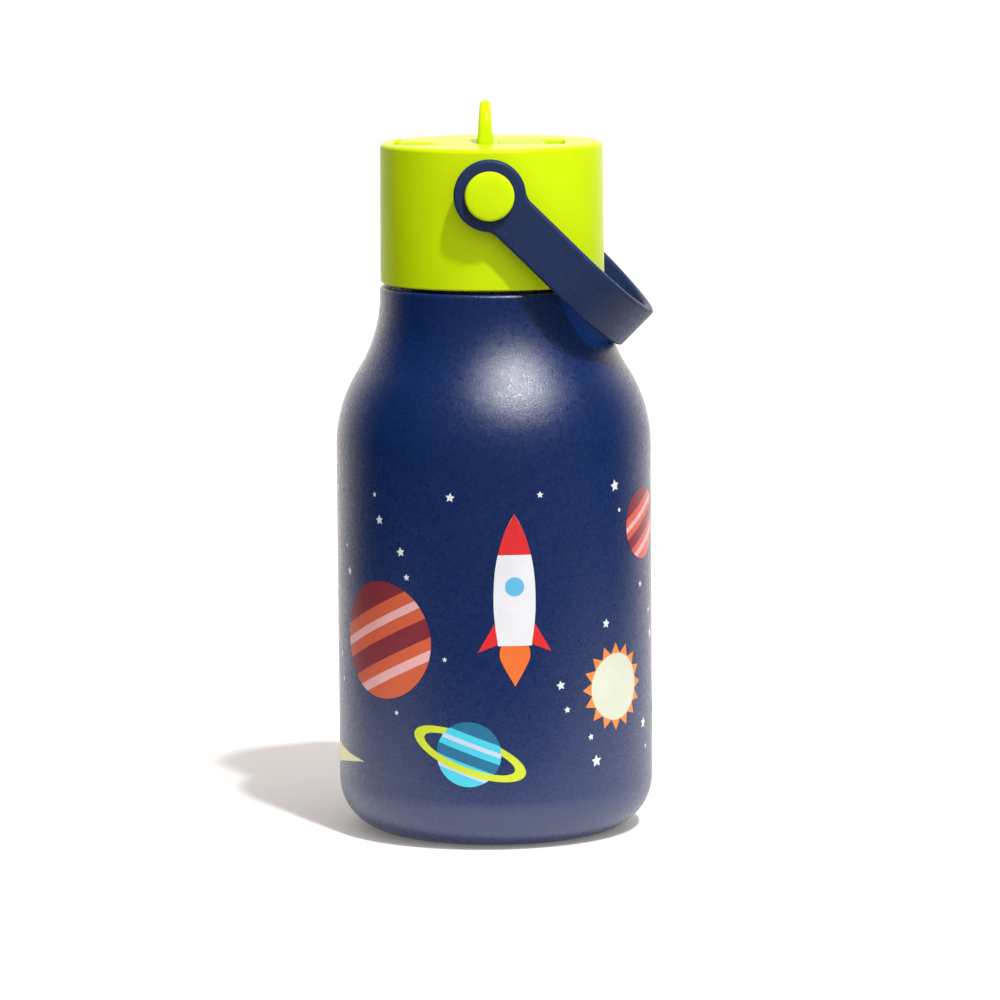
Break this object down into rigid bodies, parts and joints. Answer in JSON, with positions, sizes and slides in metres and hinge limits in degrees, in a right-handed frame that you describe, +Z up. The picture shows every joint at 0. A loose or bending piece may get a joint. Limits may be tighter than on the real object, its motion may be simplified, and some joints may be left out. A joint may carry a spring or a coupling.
{
  "type": "water bottle",
  "caption": "Small insulated steel bottle for a child, with a screw lid, a flip-up straw spout and a swinging carrying strap.",
  "frame": {"origin": "centre of the standing face, on the bottle's axis", "axes": "+Z up along the bottle's axis; the strap hangs towards +X, its studs lie along Y, the front is -Y"},
  "size_m": [0.0706, 0.07, 0.1628],
  "materials": {
    "body_coat": "navy powder coat, fine sparkle, printed pattern",
    "vessel_steel": "electropolished inside, satin",
    "base_steel": "fine radial brushing",
    "seal_solder": "dull",
    "getter_metal": "dull sintered",
    "lid_plastic": "satin moulded, fine texture",
    "liner_plastic": "satin moulded",
    "seal_silicone": "translucent silicone",
    "straw_plastic": "translucent",
    "stud_plastic": "satin moulded",
    "spout_plastic": "satin moulded",
    "mouthpiece_silicone": "soft matt silicone",
    "pin_steel": "ground",
    "strap_silicone": "soft matt silicone"
  },
  "bodies": {
    "bottle": {"outer_shell": "body_coat", "inner_vessel": "vessel_steel", "sealing_bottom": "vessel_steel", "vacuum_seal_bead": "seal_solder", "getter": "getter_metal", "base_cover": "base_steel"},
    "lid_gasket": {"lid_gasket": "seal_silicone"},
    "lid": {"lid_shell": "lid_plastic", "lid_liner": "liner_plastic", "spout_seat": "seal_silicone", "vent_valve": "seal_silicone", "straw": "straw_plastic", "strap_button_front": "stud_plastic", "strap_button_rear": "stud_plastic", "spout_hinge_pins": "pin_steel"},
    "spout": {"spout_body": "spout_plastic", "mouthpiece": "mouthpiece_silicone"},
    "strap": {"strap": "strap_silicone"}
  },
  "joints": [
    {"name": "lid_rise", "type": "slide", "parent": "bottle", "child": "lid_gasket", "axis": [0, 0, 1], "range_m": [0, 0.005]},
    {"name": "lid_turn", "type": "hinge", "parent": "lid_gasket", "child": "lid", "pos_m": [0, 0, 0.13], "axis": [0, 0, 1], "range_deg": [0, 450]},
    {"name": "strap_swing", "type": "hinge", "parent": "lid", "child": "strap", "pos_m": [0, 0, 0.1437], "axis": [0, -1, 0], "range_deg": [0, 268]},
    {"name": "spout_flip", "type": "hinge", "parent": "lid", "child": "spout", "pos_m": [-0.0165, 0, 0.1502], "axis": [0, -1, 0], "range_deg": [0, 90]}
  ],
  "couplings": [
    {"joint": "lid_rise", "follows": "lid_turn", "m_per_rad": 0.00063662}
  ]
}
